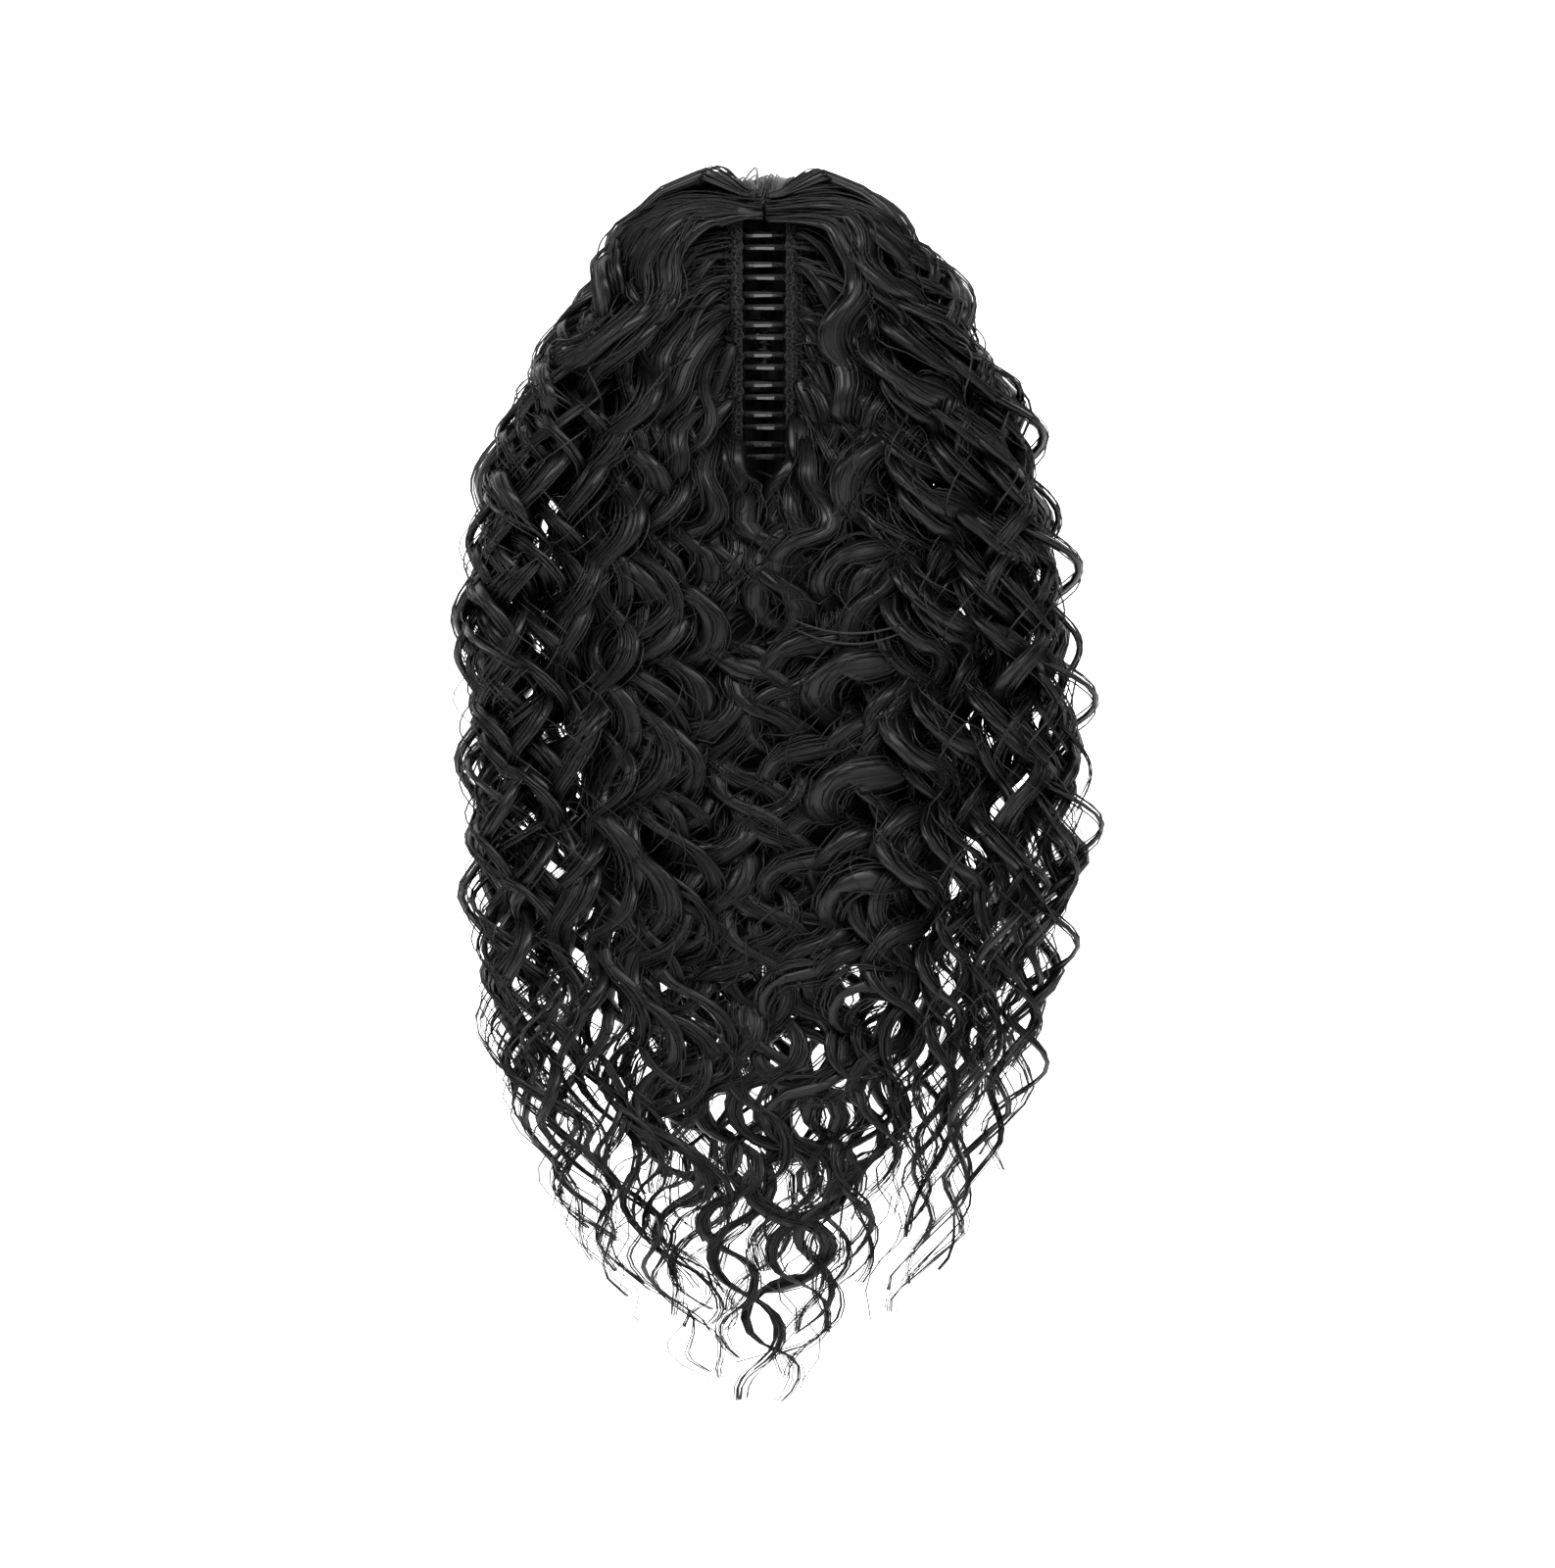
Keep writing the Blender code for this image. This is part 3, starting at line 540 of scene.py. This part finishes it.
sagTubes = tubes(
    sagLine, np.cross(sagAlong, sagFacing), sagFacing, thin, thin, 6, np.array(sagForm["shades"])
)
strays = joined("strayPair", [sagTubes])
finishPiece(strays, strandMaterial, "right_half")
print("stray pair")

# Inside of the hair: one dark closed body in each half
coreForm = {
    "top": 0.030,
    "bottom": 0.66,
    "reach": 0.62,
    "rows": 40,
    "columns": 36,
    "edge": 0.0008,  # from the middle plane
    "grip": 0.0125,  # from the middle plane beside the claw
    "skin": 0.0005,  # how far the outer wall stays outside the inner one
    "sunk": 0.007,  # depth before the middle, beside the claw
    "lean": 25.5,  # degrees, a little over half of the joint's range
}


def makeCore(name, side):
    # A half lens in each section: it turns from front to back at its reach and closes along the middle plane
    rows, columns = coreForm["rows"], coreForm["columns"]
    down = np.linspace(coreForm["top"], coreForm["bottom"], rows)[:, None]
    turn = np.linspace(0.02, np.pi - 0.02, columns)[None]
    share = (down - coreForm["top"]) / (coreForm["bottom"] - coreForm["top"])
    reach = coreForm["reach"] * np.sqrt(np.clip(1 - (2 * share - 1) ** 8, 0.003, 1))
    outer = formPoint(side, down + 0 * turn, turn + 0 * down, reach + 0 * turn)
    outer[..., 2] = hairForm["top"] - down * hairForm["length"]
    outer = clearOfClaw(outer)
    inner = outer[:, ::-1].copy()
    near = (np.abs(inner[..., 2]) < hairForm["clawHalf"]) & (np.abs(inner[..., 1]) < 0.022)
    bend = np.sqrt(np.clip(hairForm["clawReach"] ** 2 - inner[..., 1] ** 2, 0, 1))
    inner[..., 0] = np.where(near, side * np.maximum(bend, 0.0003), side * coreForm["edge"])
    slope = math.tan(math.radians(coreForm["lean"]))
    for wall, skin in ((inner, 0.0), (outer, coreForm["skin"])):
        # Behind the hinge the wall leans away by half the joint's range, so that the bodies part as it opens
        lean = np.clip(wall[..., 1] - hairForm["partingY"], 0, 1) * slope + skin
        wall[..., 0] = side * np.maximum(np.abs(wall[..., 0]), lean)
        # Beside the claw the body stays behind the band's front edge, under the roots of the locks
        before = (np.abs(wall[..., 2]) < 0.0450) & (wall[..., 1] < 0)
        wide = side * np.maximum(np.abs(wall[..., 0]), coreForm["grip"] + skin)
        wall[..., 0] = np.where(before, wide, wall[..., 0])
        sunk = smooth(np.abs(wall[..., 2]), 0.062, 0.044)
        sunk = sunk * (1 - smooth(np.abs(wall[..., 0]), 0.022, 0.045))
        y = wall[..., 1]
        wall[..., 1] = np.where(y < 0, np.maximum(y, y * (1 - sunk) - coreForm["sunk"] * sunk), y)
    ring = np.concatenate([outer, inner], 1)
    size = columns * 2
    first, last = ring[0].mean(0), ring[-1].mean(0)
    points = np.concatenate([ring.reshape(-1, 3), first[None], last[None]])
    here = np.arange(size)
    there = (here + 1) % size
    rowStart = (np.arange(rows - 1) * size)[:, None]
    quads = np.stack([rowStart + here, rowStart + there, rowStart + size + there, rowStart + size + here], -1)
    quads = quads.reshape(-1, 4)
    walls = np.concatenate([quads[:, [0, 1, 2]], quads[:, [0, 2, 3]]])
    top, bottom = rows * size, rows * size + 1
    lastRow = (rows - 1) * size
    caps = np.concatenate([
        np.stack([there, here, np.full(size, top)], -1),
        np.stack([lastRow + here, lastRow + there, np.full(size, bottom)], -1),
    ])
    faces = np.concatenate([walls, caps])
    if side > 0:
        faces = faces[:, ::-1]
    return addMesh(name, points, faces)


darkMaterial, darkMaker, darkShader = newMaterial("hairShadow", (0.002, 0.002, 0.002), 0.85)
darkPlace = darkMaker.put("ShaderNodeTexCoord", out=3)
grain = darkMaker.put("ShaderNodeTexNoise", values={"Vector": darkPlace, "Scale": 300.0})
connect(darkMaker, grain * 0.3 + 0.65, darkShader, "Roughness")
for word, side, body in (("Left", -1, "left_half"), ("Right", 1, "right_half")):
    core = makeCore("hairInside" + word, side)
    finishPiece(core, darkMaterial, body)
    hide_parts("hair_" + word.lower())
print("inside of the hair")

# Finishes of the claw's own nodes
clawLook = {
    "colour": (0.010, 0.010, 0.011),
    "rough": 0.20,
    "haze": {"Scale": 160.0, "Detail": 4.0},
    "scuffs": {"Scale": 900.0, "Detail": 2.0},
    "bump": {"Strength": 0.08, "Distance": 0.0002},
}
plastic, clawMaker, clawShader = newMaterial(
    "clawPlastic", clawLook["colour"], clawLook["rough"], {"Coat Weight": 1.0, "Specular IOR Level": 1.0}
)
clawPlace = clawMaker.put("ShaderNodeTexCoord", out=3)
haze = clawMaker.put("ShaderNodeTexNoise", values={"Vector": clawPlace, **clawLook["haze"]})
scuff = clawMaker.put("ShaderNodeTexNoise", values={"Vector": clawPlace, **clawLook["scuffs"]})
connect(clawMaker, haze * 0.12 + clawLook["rough"] - 0.03, clawShader, "Roughness")
scuffed = clawMaker.put("ShaderNodeBump", values={"Height": scuff, **clawLook["bump"]})
connect(clawMaker, scuffed, clawShader, "Normal")

bandLook = {
    "dark": (0.004, 0.004, 0.004),
    "thread": (0.060, 0.058, 0.056),
    "rows": 620.0,
    "bump": {"Strength": 0.8, "Distance": 0.0006},
}
cloth, bandMaker, bandShader = newMaterial("weftCloth", bandLook["dark"], 0.8)
bandPlace = bandMaker.put("ShaderNodeTexCoord", out=3)
knots = bandMaker.put("ShaderNodeTexVoronoi", values={"Vector": bandPlace, "Scale": bandLook["rows"]})
dots = 1 - knots * 2.0
ramp = {"ramp": [(0.25, bandLook["dark"]), (0.75, bandLook["thread"])]}
connect(bandMaker, bandMaker.put("ShaderNodeValToRGB", ramp, {0: dots}), bandShader, "Base Color")
woven = bandMaker.put("ShaderNodeBump", values={"Height": dots, **bandLook["bump"]})
connect(bandMaker, woven, bandShader, "Normal")

steel, steelMaker, steelShader = newMaterial("springSteel", (0.42, 0.42, 0.43), 0.3, {"Metallic": 1.0})
steelPlace = steelMaker.put("ShaderNodeTexCoord", out=3)
drawn = steelMaker.put("ShaderNodeTexNoise", values={"Vector": steelPlace, "Scale": 700.0})
connect(steelMaker, drawn * 0.2 + 0.22, steelShader, "Roughness")

for name, made in (("jaw_left", plastic), ("jaw_right", plastic), ("weft_band_left", cloth),
                   ("weft_band_right", cloth), ("hinge_pin", steel), ("spring", steel)):
    nodes[name].data.materials.clear()
    nodes[name].data.materials.append(made)
print("claw finishes")

# Net stitching that shows as small loops on each band, beside the teeth
loopForm = {
    "radius": 0.0190,
    "rows": (0.44, 0.53, 0.63),  # bearings from the front, in radians
    "turns": 34,
    "pitch": 0.0023,
    "tall": 0.0013,
    "wide": 0.0011,
    "cord": 0.00022,
}
loopThread, loopMaker, loopShader = newMaterial("netThread", (0.010, 0.010, 0.010), 0.5)
loopPlace = loopMaker.put("ShaderNodeTexCoord", out=3)
twist = loopMaker.put("ShaderNodeTexNoise", values={"Vector": loopPlace, "Scale": 900.0})
connect(loopMaker, twist * 0.3 + 0.35, loopShader, "Roughness")
for word, side, body in (("Left", -1, "left_half"), ("Right", 1, "right_half")):
    # A row is a looping line: its height is pitch times turns plus tall times sine, and its bearing is wide
    # times cosine
    rng = np.random.default_rng(hairForm["seed"] + 900 + side)
    half = loopForm["turns"] / 2
    turns = np.linspace(-half, half, loopForm["turns"] * 9 + 1) * 2 * np.pi
    rows = np.array(loopForm["rows"])[:, None]
    uneven = 1 + 0.35 * np.sin(turns * 0.37 + rows * 40) + 0.25 * np.sin(turns * 0.61 + rows * 90)
    bearing = rows + loopForm["wide"] / loopForm["radius"] * uneven * np.cos(turns + rows * 30)
    high = loopForm["pitch"] * turns / (2 * np.pi) + loopForm["tall"] * uneven * np.sin(turns + rows * 30)
    out = loopForm["radius"] + 0.0006 + 0.0004 * np.sin(turns * 2 + rows * 10)
    path = np.stack([side * out * np.sin(bearing), -out * np.cos(bearing), high], -1)
    along = alongPath(path)
    facing = unit(path * np.array([1.0, 1.0, 0.0]))
    facing = unit(facing - along * (facing * along).sum(-1, keepdims=True))
    cord = np.full(path.shape[:2], loopForm["cord"])
    shade = rng.uniform(0, 1, len(path))
    obj = joined("netStitches" + word, [tubes(path, np.cross(along, facing), facing, cord, cord, 4, shade)])
    finishPiece(obj, loopThread, body)
print("net stitches")

# Camera at the photograph's angle: level, on the toothed side
cameraForm = {"distance": 3.0, "x": 0.0044, "z": -0.1449, "frameHeight": 0.521}
cameraData = bpy.data.cameras.new("camera")
cameraData.sensor_fit = "VERTICAL"
cameraData.sensor_height = 36.0
cameraData.lens = 36.0 * cameraForm["distance"] / cameraForm["frameHeight"]
camera = bpy.data.objects.new("camera", cameraData)
camera.location = (cameraForm["x"], -cameraForm["distance"], cameraForm["z"])
camera.rotation_euler = (math.radians(90), 0, 0)
bpy.context.scene.collection.objects.link(camera)
bpy.context.scene.camera = camera

# Pale floor that curves up into a backdrop
stageForm = {"floor": -0.46, "front": -3.4, "back": 1.3, "bend": 0.7, "height": 2.2, "half": 3.2}


def makeStage():
    # A profile of floor, quarter circle and wall, carried along X
    turn = np.linspace(-np.pi / 2, 0, 24)
    curve = np.stack([
        stageForm["back"] - stageForm["bend"] + stageForm["bend"] * np.cos(turn),
        stageForm["floor"] + stageForm["bend"] + stageForm["bend"] * np.sin(turn),
    ], -1)
    start, end = (stageForm["front"], stageForm["floor"]), (stageForm["back"], stageForm["height"])
    profile = np.concatenate([[start], curve, [end]])
    edges = (-stageForm["half"], stageForm["half"])
    ends = [np.column_stack([np.full(len(profile), x), profile]) for x in edges]
    count = len(profile)
    k = np.arange(count - 1)
    faces = np.stack([k, k + 1, count + k + 1, count + k], -1)[:, ::-1]
    return addMesh("paleSweep", np.concatenate(ends), faces)


stage = makeStage()
paper = (0.93, 0.93, 0.93)
stageMaterial, stageMaker, stageShader = newMaterial("palePaper", paper, 0.9, {"Emission Strength": 1.0})
stagePoint = stageMaker.put("ShaderNodeTexCoord", out=3)
stagePlace = stageMaker.put("ShaderNodeSeparateXYZ", values={0: stagePoint}, out=1)
glow = stageMaker.put("ShaderNodeMapRange", values={0: stagePlace, 1: -0.3, 2: 0.6, 3: 0.18, 4: 0.92})
connect(stageMaker, glow, stageShader, "Emission Color")
shown = 1 - stageMaker.put("ShaderNodeNewGeometry", out=6)  # clear from behind, where a camera may stand
connect(stageMaker, shown, stageShader, "Alpha")
stage.data.materials.append(stageMaterial)

# Soft studio light, shown without a film curve so that the paper stays white
bpy.context.scene.view_settings.view_transform = "Standard"
world = bpy.data.worlds.new("studio")
bpy.context.scene.world = world
world.use_nodes = True
air = world.node_tree.nodes["Background"]
air.inputs["Color"].default_value = (1, 1, 1, 1)
airMaker = Socket(world.node_tree, None)
seen = airMaker.put("ShaderNodeLightPath")  # pale where it is looked at, dim as a light
world.node_tree.links.new((seen * 0.87 + 0.03).output, air.inputs["Strength"])
lights = [
    # name, place, size, power
    ("keyLight", (-0.2, -1.5, 1.2), (4.6, 0.30), 85.0),
    ("fillLight", (1.4, -1.1, 0.2), (0.8, 0.8), 2.0),
    ("topLight", (0.1, 0.2, 1.5), (0.9, 0.6), 8.0),
]
for name, place, size, power in lights:
    data = bpy.data.lights.new(name, "AREA")
    data.shape, data.energy = "RECTANGLE", power
    data.size, data.size_y = size
    light = bpy.data.objects.new(name, data)
    light.location = place
    aim = np.array([0, 0, -0.12]) - np.array(place)
    tilt = math.acos(-aim[2] / np.linalg.norm(aim))
    light.rotation_euler = (tilt, 0, math.atan2(aim[1], aim[0]) - math.pi / 2)
    bpy.context.scene.collection.objects.link(light)
print("stage, camera and light")
